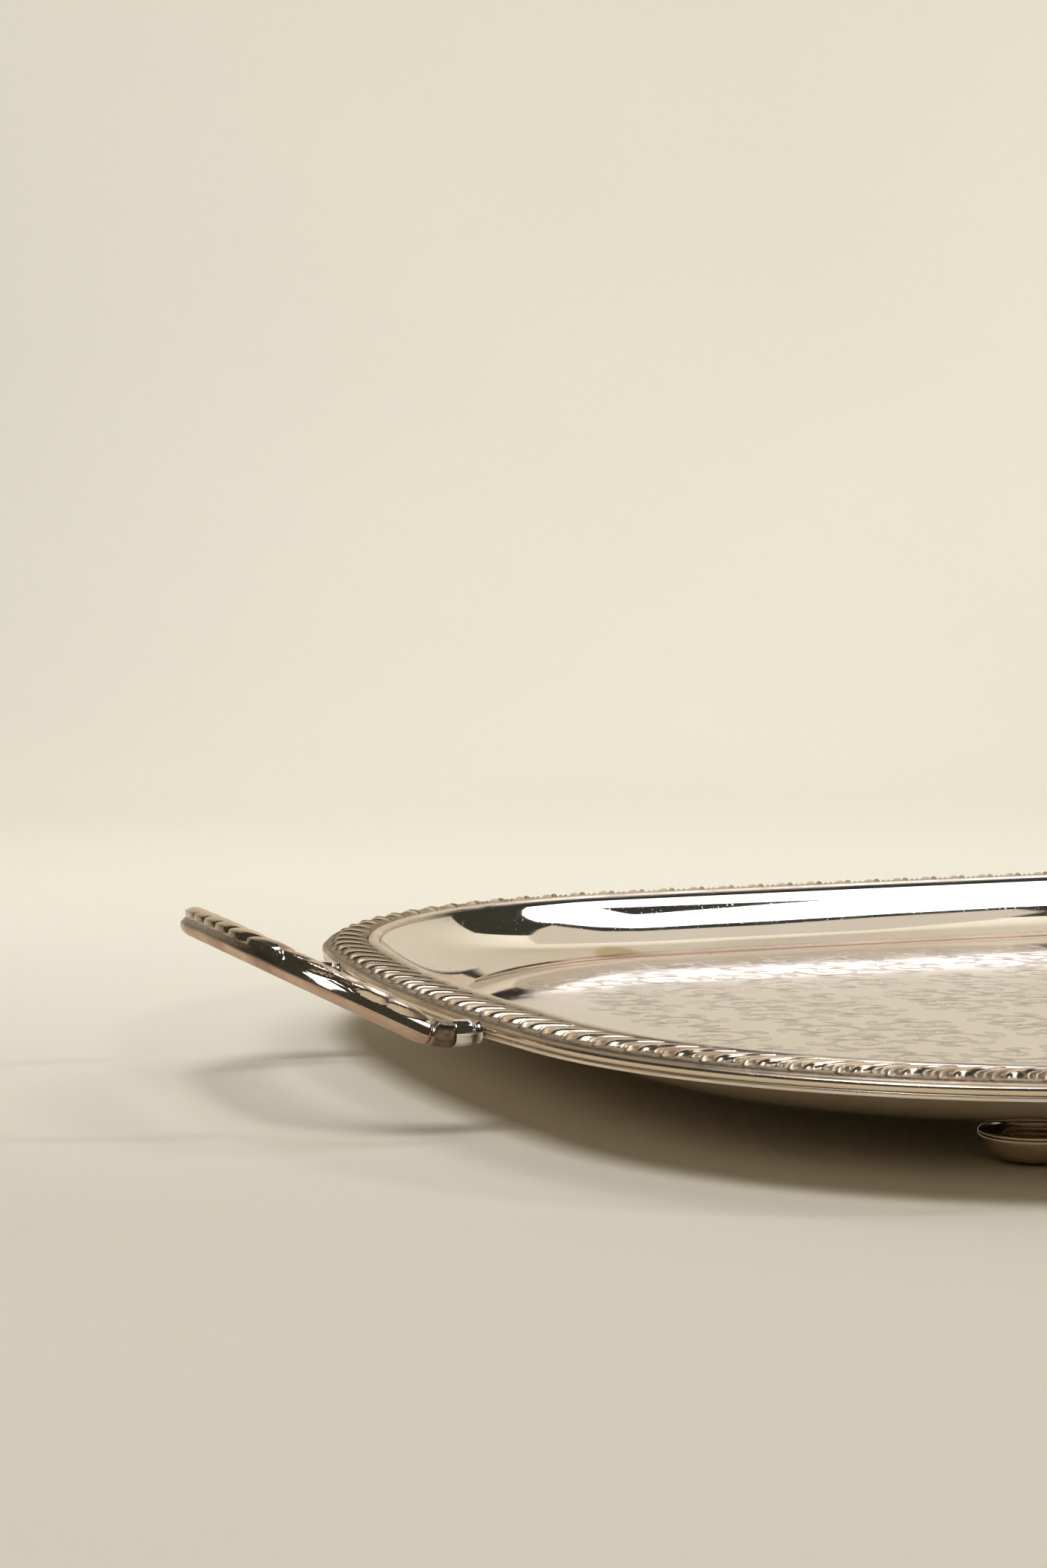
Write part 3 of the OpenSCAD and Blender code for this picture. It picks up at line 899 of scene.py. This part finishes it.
def make_terminal(end, depth):
    """A turned terminal, laid level with its inner end shaped to the curved rim."""
    out = 1 if end == "right" else -1
    y = HANDLE_SPAN / 2 * (1 if depth == "back" else -1)

    def place(p):
        """Lays the upright turning level and fits it to the rim."""
        side = y + p[..., 0]
        rim = END_CX + np.sqrt((END_RADIUS + RIM_FACE) ** 2 - side ** 2) - RIM_X
        share = np.clip((p[..., 2] - RIM_FACE) / (TERMINAL_LENGTH / 3), 0, 1)
        x = RIM_X + p[..., 2] + (rim - RIM_FACE) * (1 - share)
        return np.stack([out * x, side, SEAT_Z + p[..., 1]], -1)

    name = "terminal_" + end + "_" + depth
    piece = turned(name + "_turned", terminal_profile(), place)
    dress(piece, TERMINAL_SILVER, "terminal_silver", name)


for end in ("right", "left"):
    for depth in ("front", "back"):
        make_terminal(end, depth)


def round_over(r0, z0, r1, z1, steps, bulge):
    """Points along a quarter curve from one point to another, hollow or full."""
    angle = np.linspace(0, math.pi / 2, steps)
    shares = [np.sin(angle), 1 - np.cos(angle)]
    across, up = shares if bulge else shares[::-1]
    return list(zip(r0 + (r1 - r0) * across, z0 + (z1 - z0) * up))


def soft_corner(radius, z, tarnish_and_shade):
    """The softened lower edge of a ring, without its first point."""
    edge = round_over(radius - COLLAR_SOFT, z, radius, z + COLLAR_SOFT, 5, True)
    return [(r, height, tarnish_and_shade) for r, height in edge[1:]]


def collar_profile():
    """A stepped disc with two softened rings."""
    step_z = COLLAR_Z + COLLAR_HEIGHT / 3
    # Darker in the step and where the collar meets the base, as dark joints and painted shade under the
    # tray; the hidden underside is darker too.
    rows = [(COLLAR_HUB_R, COLLAR_Z, 0.2), (NECK_R - COLLAR_SOFT, COLLAR_Z, 0.8)]
    rows += soft_corner(NECK_R, COLLAR_Z, 0.3)
    rows += [(NECK_R, step_z, SEAM_DARK), (COLLAR_R - COLLAR_SOFT, step_z, 0.3)]
    rows += soft_corner(COLLAR_R, step_z, 0.1)
    rows += [(COLLAR_R, BASE_Z - COLLAR_SOFT, 0.2), (COLLAR_R, BASE_Z, SEAM_DARK)]
    rows += [(COLLAR_HUB_R, BASE_Z, 0.5)]
    return rows


def upper_profile():
    """The dished upper half with a narrow rim at the seam, as a closed section."""
    drop_z = SEAM_HEIGHT + SEAM_RIM + RIM_DROP
    outside = round_over(NECK_R, COLLAR_Z, FOOT_R - 0.6, drop_z, 22, False)
    rim = [(FOOT_R - 0.25, drop_z - 0.05), (FOOT_R, drop_z - RIM_DROP), (FOOT_R, SEAM_HEIGHT + 0.18)]
    inside = [(FOOT_R - 0.12, SEAM_HEIGHT), (FOOT_R - SHELL, SEAM_HEIGHT)]
    inside += [(r - SHELL, max(z - SHELL * 0.7, SEAM_HEIGHT + SEAM_GAP)) for r, z in outside[:0:-1]]
    inside += [(NECK_R - SHELL, COLLAR_Z)]
    # Painted shade: darkest next to the collar, lighter on the rest of the dish, dark inside.
    shade = [0.75] * 4 + [0.25] * (len(outside) - 4) + [0.0] * len(rim) + [SEAM_DARK] * len(inside)
    return [(r, z, d) for (r, z), d in zip(outside + rim + inside, shade)]


def lower_profile():
    """The shallow bowl that stands on the table, first its outside and then its inside."""
    top_z = SEAM_HEIGHT - SEAM_GAP
    bowl = round_over(TREAD_DIAMETER / 2, 0.0, FOOT_R, top_z - SEAM_RIM, 24, True)
    inside = [(r - SHELL / 2, min(z + SHELL, top_z - SEAM_GAP)) for r, z in bowl[-2::-1]]
    # The bowl's outside is a little darker as painted shade under the tray, more at the tread, and dark
    # inside.
    rows = [(TREAD_HUB_R, 0.0, 0.6)] + [(r, z, 0.2) for r, z in bowl]
    rows += [(FOOT_R, top_z - RIM_SOFT, 0.0)]
    inside = [(FOOT_R - RIM_SOFT, top_z), (FOOT_R - SHELL, top_z)] + inside + [(TREAD_HUB_R, SHELL)]
    rows += [(r, z, SEAM_DARK) for r, z in inside]
    return rows


def make_foot(end, depth):
    """A foot in its three pieces: collar, upper half and lower half."""
    x = FOOT_X * (1 if end == "right" else -1)
    y = FOOT_Y * (1 if depth == "back" else -1)
    parts = (
        ("foot_collar_", collar_profile(), False),
        ("foot_upper_", upper_profile(), True),
        ("foot_lower_", lower_profile(), False),
    )
    for prefix, profile, closed in parts:
        name = prefix + depth + "_" + end
        piece = turned(name + "_spun", profile, lambda p: p + np.array([x, y, 0.0]), closed)
        dress(piece, FOOT_SILVER, "foot_silver", name)


for depth in ("front", "back"):
    for end in ("right", "left"):
        make_foot(end, depth)


# Chased ornament on the base: narrow crowned lines and flat matt patches, the same in each quarter
QUARTERS = ((1, 1), (-1, 1), (-1, -1), (1, -1))
LINE_WIDTH = 0.27
LINE_TIP = 0.25
LINE_LIFT = 0.014
LINE_CROWN = 0.015
MATT_LIFT = 0.002
MATT_STEP = 0.0008
MATT_LEVELS = 14
LEAF_STEPS = 13
SCROLL_LEAVES = 6
SCROLL_PITCH = 25.0
SCROLL_STRAY = 2.0
SCROLL_SHARE = (0.40, 0.46)
SCROLL_SEED = 12
VOLUTE_GAPS = (0.0, 0.8, 1.5)
VOLUTE_TURNS = 1.45
VOLUTE_EYE = 2.4
MATT_TURNS = 1.4
FLOWER_RADIUS = 1.8
FLOWER_EYE = 0.8
FLOWER_PETALS = 5
FIELD_INSET = BASE_INSET + FIELD_MARGIN
FIELD_HALF = np.array([TRAY_LENGTH / 2, TRAY_WIDTH / 2]) - FIELD_INSET
FIELD_CORNER = CORNER_RADIUS - FIELD_INSET

# Lines of a leaf: share of its half width, points left off at each end, and weight
LEAF_LINES = ((-1, 0, 1.0), (1, 0, 1.0), (-0.62, 2, 0.6), (0.62, 2, 0.6), (0, 1, 0.6))

# The two leaves that break from a scroll together: heading in degrees, length, width and bend
LEAF_PAIR = ((48, 1.0, 0.36, 1.9), (112, 0.6, 0.22, 1.2))


class Chasing:
    """Collects strips that lie on the base and make up one mesh."""

    def __init__(self):
        """Starts with no strips."""
        self.points = []
        self.quads = []
        self.count = 0

    def add_strip(self, points, way):
        """Adds a strip from rows of points across it, with its faces wound one way or the other."""
        rows, cols = points.shape[:2]
        self.points.append(points.reshape(-1, 3))
        self.quads.append(grid_quads(rows, cols)[:, ::way] + self.count)
        self.count += rows * cols

    def stroke(self, line, width):
        """Adds a narrow line with a low crown and tapered ends."""
        ahead = unit(np.gradient(line, axis=0))
        side = np.stack([-ahead[:, 1], ahead[:, 0]], -1)
        t = np.clip(np.linspace(0, 1, len(line)), 0.02, 0.98)
        half = width / 2 * (LINE_TIP + (1 - LINE_TIP) * np.sin(math.pi * t) ** 0.5)
        rows = []
        for share in (-1, 0, 1):
            flat = line + side * (half * share)[:, None]
            crown = LINE_CROWN * (1 - abs(share)) * half / (LINE_WIDTH / 2)
            rows.append(with_height(flat, WELL_Z + LINE_LIFT + crown))
        self.add_strip(np.stack(rows, 1), -1)

    def stroke_all_quarters(self, line, width):
        """Adds a line in each quarter of the base."""
        for quarter in QUARTERS:
            self.stroke(line * np.array(quarter), width)

    def patch_all_quarters(self, left, right):
        """Adds a patch between two lines in each quarter, facing up and just over the sheet."""
        lift = MATT_LIFT + MATT_STEP * (len(self.points) // len(QUARTERS) % MATT_LEVELS)
        middle = len(left) // 2
        ahead = left[middle + 1] - left[middle]
        over = right[middle] - left[middle]
        way = 1 if ahead[0] * over[1] < ahead[1] * over[0] else -1
        for sx, sy in QUARTERS:
            flat = np.stack([left, right], 1) * np.array([sx, sy])
            self.add_strip(with_height(flat, WELL_Z + lift), sx * sy * way)


def spiral(centre, start, radius, turns, way, inner):
    """A volute that winds in from a start angle."""
    t = np.linspace(0, 1, 70)
    angle = start + way * 2 * math.pi * turns * t
    reach = inner + (radius - inner) * (1 - t) ** 1.25
    return centre + np.stack([np.cos(angle), np.sin(angle)], -1) * reach[:, None]


def leaf_strokes(chasing, base, heading, length, width, bend):
    """A curled leaf: an outline, a second line inside it, a vein, and matt ground between."""
    lines, matt = chasing
    t = np.linspace(0, 1, LEAF_STEPS)
    turn = heading + bend * t ** 1.3
    step = np.stack([np.cos(turn), np.sin(turn)], -1) * length / len(t)
    spine = base + np.concatenate([[[0, 0]], np.cumsum(step, axis=0)[:-1]])
    normal = np.stack([-np.sin(turn), np.cos(turn)], -1)
    half = normal * (width / 2 * np.sin(math.pi * t ** 0.75) ** 0.8)[:, None]
    for share, left_off, weight in LEAF_LINES:
        line = spine + half * share
        lines.stroke_all_quarters(line[left_off : len(line) - left_off], LINE_WIDTH * weight)
    matt.patch_all_quarters((spine - half)[1:-1], (spine + half)[1:-1])


def flower_strokes(chasing, centre):
    """A small round flower of looped petals."""
    spacing = 2 * math.pi / FLOWER_PETALS
    t = np.linspace(0, math.pi, 12)
    out = FLOWER_EYE + FLOWER_RADIUS * np.sin(t) ** 0.7
    for k in range(FLOWER_PETALS):
        swing = spacing * (k + 0.9 * (t / math.pi - 0.5))
        line = centre + np.stack([np.cos(swing), np.sin(swing)], -1) * out[:, None]
        chasing[0].stroke_all_quarters(line, LINE_WIDTH * 0.8)


def scroll(chasing, centre, start, radius, way):
    """A volute of three lines with a flower in it and leaves breaking from its outer turn."""
    for k, gap in enumerate(VOLUTE_GAPS):
        line = spiral(centre, start, radius - gap, VOLUTE_TURNS - 0.1 * k, way, VOLUTE_EYE)
        chasing[0].stroke_all_quarters(line, LINE_WIDTH * (1.1 - 0.25 * k))
    outer = spiral(centre, start, radius, MATT_TURNS, way, VOLUTE_EYE + 0.1)
    inner = spiral(centre, start, radius - VOLUTE_GAPS[-1], MATT_TURNS, way, VOLUTE_EYE - 0.1)
    chasing[1].patch_all_quarters(outer, inner)
    flower_strokes(chasing, centre)
    for k in range(SCROLL_LEAVES):
        share = (k + 0.3) / SCROLL_LEAVES
        angle = start + way * 2 * math.pi * 0.95 * share
        base = centre + radius * (1 - 0.35 * share) * np.array([math.cos(angle), math.sin(angle)])
        size = radius * (0.95 - 0.25 * share)
        for heading, length, width, bend in LEAF_PAIR:
            facing = angle + way * math.radians(heading)
            leaf_strokes(chasing, base, facing, size * length, size * width, way * bend)


def in_field(point, margin):
    """Whether a point lies inside the chased field, a margin away from its edge."""
    out = np.abs(point) - (FIELD_HALF - FIELD_CORNER)
    reach = np.linalg.norm(np.maximum(out, 0)) + min(max(out), 0) - FIELD_CORNER
    return reach < -margin


def make_chasing():
    """Scrolls over the whole field, as one mesh of lines and one of matt patches."""
    chasing = (Chasing(), Chasing())
    chance = np.random.default_rng(SCROLL_SEED)
    across, along = (FIELD_HALF / SCROLL_PITCH).astype(int)
    for i in range(across + 1):
        for j in range(along + 1):
            stray = chance.uniform(-SCROLL_STRAY, SCROLL_STRAY, 2)
            centre = (np.array([i, j]) + 0.5) * SCROLL_PITCH + stray
            radius = SCROLL_PITCH * chance.uniform(*SCROLL_SHARE)
            start = chance.uniform(0, 2 * math.pi)
            if in_field(centre, SCROLL_PITCH / 2):
                scroll(chasing, centre, start, radius, 1 if (i + j) % 2 else -1)
    named = (("base_chased_lines", CHASED), ("base_matt_leaves", MATT))
    for layer, (name, material) in zip(chasing, named):
        points = np.concatenate(layer.points)
        quads = np.concatenate(layer.quads)
        piece = new_piece(name, points, quads, tidy_normals=False, sharp=80.0)
        dress(piece, material, "body_silver")


make_chasing()


# Stage, in metres: a pale sweep that rises behind the tray, soft boxes, lit panels and the camera
FLOOR_TONE = (0.82, 0.745, 0.59, 1)
FLOOR_SHADE = 0.975
PAPER_MOTTLE = (3.0, 3.0, 0.3, 0.7)
SWEEP_START = 0.85
SWEEP_RADIUS = 0.75
SWEEP_TOP = 1.88
SWEEP_SIDE_TOP = 1.40
SWEEP_STEP = (0.60, 0.80)
SWEEP_HALF_WIDTH = 2.6
SWEEP_DROP = 0.00005
FLOOR_FRONT = -1.5
CAMERA_PLACE = (-0.49763, -0.69084, 0.12004)
CAMERA_TURN = 0.3333
CAMERA_DIP = 0.0654
CAMERA_ROLL = -0.0061
FOCAL_PIXELS = 4167.56
FRAME_HEIGHT = 2120.0
SENSOR = 36.0
KEY_PLACE = (-0.62, -0.35, 1.20)
KEY_AIM = (-0.2, 0.0, 0.0)
FRONT_PLACE = (1.02, -1.60, 1.45)
FRONT_AIM = (0.2, 0.0, 0.3)
LOW_PLACE = (1.75, -0.76, 0.96)
LOW_AIM = (-0.33, 0.0, 0.0)
WASH_PLACE = (0.30, 0.28, 1.70)
WASH_AIM = (0.72, 1.45, 1.25)
LAMP_TONE = (0.92, 0.945, 1.0)
WARM_TONE = (1.0, 0.88, 0.68)
COOL_TONE = (0.83, 0.89, 1.0)
ROOM_TONE = (0.95, 0.95, 0.76, 1)
ROOM_GLOW = 0.048
PANEL_HEIGHT = 1.20
FAR_GLOW = 3.0
NEAR_GLOW = 2.2
CARD_GLOW = 0.74
CARD_TONE = (1.0, 0.93, 0.79)

# Outlines in plan of the panels that the polished base mirrors
PANEL_MEET = [(0.487, 0.063), (0.70, 0.03), (0.885, 0.05)]
FAR_ROUND = [(0.905, 0.18), (0.90, 0.28), (0.86, 0.38), (0.80, 0.45), (0.74, 0.50), (0.68, 0.51)]
FAR_EDGE = [(0.62, 0.495), (0.55, 0.525), (0.47, 0.575), (0.38, 0.60)]
FAR_LEFT = [(0.25, 0.62), (0.20, 0.50), (0.25, 0.32), (0.36, 0.20)]
NEAR_EDGE = [(0.88, -0.50), (0.22, -0.50), (0.22, -0.03), (0.36, 0.02)]
CARD_FRONT = [(0.15, 0.76), (0.38, 0.72), (0.47, 0.72), (0.54, 0.63), (0.64, 0.57), (0.69, 0.72)]
CARD_BACK = [(0.72, 1.0), (0.70, 1.3), (0.15, 1.3)]


def paper_material():
    """Matt cream paper with a faint mottle."""
    material, tree, shader = new_material("cream_paper")
    shader.inputs["Metallic"].default_value = 0.0
    shader.inputs["Roughness"].default_value = 0.85
    shader.inputs["Specular IOR Level"].default_value = 0.15
    darker = tuple(c * FLOOR_SHADE for c in FLOOR_TONE[:3]) + (1,)
    tone = blend_tones(tree, patches(tree, *PAPER_MOTTLE), FLOOR_TONE, darker)
    feed(tree, shader.inputs["Base Color"], tone)
    return material


def make_sweep():
    """A sheet of paper that lies under the tray and bends up behind it, lower on the right."""
    turn = np.linspace(0, math.pi / 2, 40)[1:]
    flat = [(y, 0.0) for y in np.linspace(FLOOR_FRONT, SWEEP_START, 12)]
    bend = [(SWEEP_START + SWEEP_RADIUS * math.sin(a), SWEEP_RADIUS * (1 - math.cos(a))) for a in turn]
    wall = [(SWEEP_START + SWEEP_RADIUS, z) for z in np.linspace(SWEEP_RADIUS, SWEEP_TOP, 8)[1:]]
    deep, high = np.array(flat + bend + wall).T[..., None]
    spread = np.linspace(-SWEEP_HALF_WIDTH, SWEEP_HALF_WIDTH, 53)
    lower = smooth((spread - SWEEP_STEP[0]) / (SWEEP_STEP[1] - SWEEP_STEP[0]))
    squash = 1 - lower * (SWEEP_TOP - SWEEP_SIDE_TOP) / (SWEEP_TOP - SWEEP_RADIUS)
    above = np.clip(high - SWEEP_RADIUS, 0, None)
    below = np.minimum(high, SWEEP_RADIUS)
    c = math.cos(CAMERA_TURN)
    s = math.sin(CAMERA_TURN)
    plan = np.stack([spread * c + deep * s, -spread * s + deep * c], -1)
    grid = with_height(plan, below + above * squash - SWEEP_DROP)
    quads = grid_quads(len(deep), len(spread))
    sweep = new_piece("paper_sweep", grid / MM, quads, tidy_normals=False, sharp=180.0)
    sweep.data.materials.append(paper_material())


make_sweep()


def set_axes(piece, right, up, back, place):
    """Puts a lamp or a camera in place, so that it looks away from its back."""
    matrix = np.eye(4)
    matrix[:3] = np.stack([right, up, back, place], 1)
    piece.matrix_world = Matrix(matrix.tolist())


def soft_box(name, place, aim, size, power, tone=LAMP_TONE, mirrored=False):
    """A rectangular soft box that faces a point, and may show as a reflection."""
    light = bpy.data.lights.new(name, "AREA")
    light.shape = "RECTANGLE"
    light.size, light.size_y = size
    light.energy = power
    light.color = tone
    lamp = bpy.data.objects.new(name, light)
    bpy.context.scene.collection.objects.link(lamp)
    lamp.visible_glossy = mirrored
    back = unit(np.array(place) - np.array(aim))
    right = unit(np.cross((0.0, 1.0, 0.0), back))
    set_axes(lamp, right, np.cross(back, right), back, place)


soft_box("key_lamp", KEY_PLACE, KEY_AIM, size=(0.62, 0.62), power=9.3, mirrored=True)
soft_box("front_card", FRONT_PLACE, FRONT_AIM, size=(1.3, 1.0), power=2.2, tone=WARM_TONE)
soft_box("low_lamp", LOW_PLACE, LOW_AIM, size=(0.16, 0.16), power=9.0)
soft_box("backdrop_wash", WASH_PLACE, WASH_AIM, size=(2.4, 0.6), power=32.5, tone=COOL_TONE)


def soft_panel(name, outline, glow, tone):
    """A lit panel that hangs level over the tray, from its outline in plan."""
    points = with_height(np.array(outline), PANEL_HEIGHT)
    panel = new_piece(name, points / MM, np.zeros((0, 4), int), [range(len(points))], tidy_normals=False)
    material = bpy.data.materials.new(name + "_face")
    material.use_nodes = True
    tree = material.node_tree
    tree.nodes.clear()
    light = add(tree, "ShaderNodeEmission", Color=tone + (1,), Strength=glow)
    add(tree, "ShaderNodeOutputMaterial", Surface=light.outputs["Emission"])
    panel.data.materials.append(material)


soft_panel("far_soft_box", PANEL_MEET + FAR_ROUND + FAR_EDGE + FAR_LEFT, FAR_GLOW, LAMP_TONE)
soft_panel("near_soft_box", PANEL_MEET + NEAR_EDGE, NEAR_GLOW, LAMP_TONE)
soft_panel("bounce_card", CARD_FRONT + CARD_BACK, CARD_GLOW, CARD_TONE)


def make_world():
    """A dim room round the stage."""
    world = bpy.data.worlds.new("dim_room")
    bpy.context.scene.world = world
    world.use_nodes = True
    back = world.node_tree.nodes["Background"]
    back.inputs["Color"].default_value = ROOM_TONE
    back.inputs["Strength"].default_value = ROOM_GLOW


make_world()


def make_camera():
    """The camera at the photo's place and angle."""
    data = bpy.data.cameras.new("camera")
    data.lens = FOCAL_PIXELS * SENSOR / FRAME_HEIGHT
    data.sensor_width = SENSOR
    data.clip_start = 0.02
    data.clip_end = 30.0
    camera = bpy.data.objects.new("camera", data)
    bpy.context.scene.collection.objects.link(camera)
    level = np.array([math.sin(CAMERA_TURN), math.cos(CAMERA_TURN), 0.0])
    right = np.array([math.cos(CAMERA_TURN), -math.sin(CAMERA_TURN), 0.0])
    ahead = level * math.cos(CAMERA_DIP) - np.array([0, 0, math.sin(CAMERA_DIP)])
    up = np.cross(right, ahead)
    c = math.cos(CAMERA_ROLL)
    s = math.sin(CAMERA_ROLL)
    set_axes(camera, c * right + s * up, c * up - s * right, -ahead, CAMERA_PLACE)
    bpy.context.scene.camera = camera


make_camera()
bpy.context.scene.view_settings.view_transform = "Standard"
